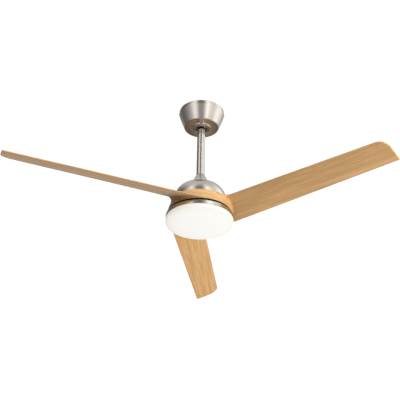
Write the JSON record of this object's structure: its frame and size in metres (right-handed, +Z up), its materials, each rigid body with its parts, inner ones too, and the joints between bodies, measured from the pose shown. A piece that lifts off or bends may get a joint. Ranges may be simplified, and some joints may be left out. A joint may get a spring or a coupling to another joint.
{
  "type": "ceiling fan with light",
  "caption": "Ceiling fan on a short downrod: domed nickel motor housing, pitched oak-look blades with a shared hub band, and a round opal light below.",
  "frame": {"origin": "centre of the ceiling bracket's top face, on the ceiling plane", "axes": "+Z up into the ceiling, along the motor shaft; +X through the two canopy screws; the ceiling bracket slots lie along X"},
  "size_m": [1.1603, 1.0327, 0.44],
  "materials": {
    "brushed_nickel": "brushed satin nickel",
    "zinc_steel": "zinc plated steel",
    "dark_steel": "dark oxide steel",
    "core_steel": "bare lamination steel",
    "cast_aluminium": "as cast",
    "brass": "plated brass",
    "copper_enamel": "enamelled copper wire",
    "oak": "light oak grain, satin lacquer",
    "opal": "opal white, satin, lit from inside",
    "black_plastic": "moulded, matt",
    "white_plastic": "moulded, matt",
    "board": "white solder mask",
    "led": "phosphor",
    "rubber": "matt rubber",
    "cable": "pvc sheath",
    "ferrite": "sintered magnet"
  },
  "bodies": {
    "ceiling_mount": {"mounting_bracket": "zinc_steel", "canopy": "brushed_nickel", "canopy_trim_ring": "brushed_nickel", "canopy_screws": "brushed_nickel", "receiver_box": "white_plastic", "receiver_screws": "zinc_steel", "terminal_block": "white_plastic", "earth_screw": "zinc_steel", "receiver_lead": "cable"},
    "ball_seat": {"ball_seat_liner": "black_plastic"},
    "stem": {"hanger_ball": "rubber", "hanger_ball_pins": "zinc_steel", "downrod": "brushed_nickel", "cover_grommet": "rubber", "coupling_cover": "brushed_nickel", "yoke": "dark_steel", "yoke_set_screws": "dark_steel", "clevis_pin": "zinc_steel", "cotter_pin": "zinc_steel", "upper_housing": "brushed_nickel", "housing_screws": "zinc_steel", "motor_shaft": "dark_steel", "stator_core": "core_steel", "stator_windings": "copper_enamel", "motor_lead": "cable", "shaft_collar": "dark_steel", "light_mount_plate": "zinc_steel", "lock_washer": "zinc_steel", "shaft_nut": "brass", "pan_standoffs": "zinc_steel", "neck_shroud": "black_plastic", "light_pan": "brushed_nickel", "pan_screws": "zinc_steel", "led_driver": "white_plastic", "led_board": "board", "led_chips": "led", "led_board_screws": "zinc_steel"},
    "rotor": {"rotor_case_upper": "cast_aluminium", "rotor_case_lower": "cast_aluminium", "rotor_case_screws": "zinc_steel", "rotor_magnets": "ferrite", "upper_bearing": "zinc_steel", "lower_bearing": "zinc_steel", "blade_1": "oak", "blade_2": "oak", "blade_3": "oak", "blade_foot_1": "cast_aluminium", "blade_foot_2": "cast_aluminium", "blade_foot_3": "cast_aluminium", "blade_screws": "zinc_steel"},
    "diffuser": {"diffuser": "opal"}
  },
  "joints": [
    {"name": "ball_swing_y", "type": "hinge", "parent": "ceiling_mount", "child": "ball_seat", "pos_m": [0, 0, -0.036], "axis": [0, 1, 0], "range_deg": [-8, 8]},
    {"name": "ball_swing_x", "type": "hinge", "parent": "ball_seat", "child": "stem", "pos_m": [0, 0, -0.036], "axis": [1, 0, 0], "range_deg": [-8, 8]},
    {"name": "rotor_spin", "type": "hinge", "parent": "stem", "child": "rotor", "pos_m": [0, 0, -0.36], "axis": [0, 0, 1], "continuous": true},
    {"name": "diffuser_twist", "type": "hinge", "parent": "stem", "child": "diffuser", "pos_m": [0, 0, -0.418], "axis": [0, 0, -1], "range_deg": [0, 20]}
  ]
}
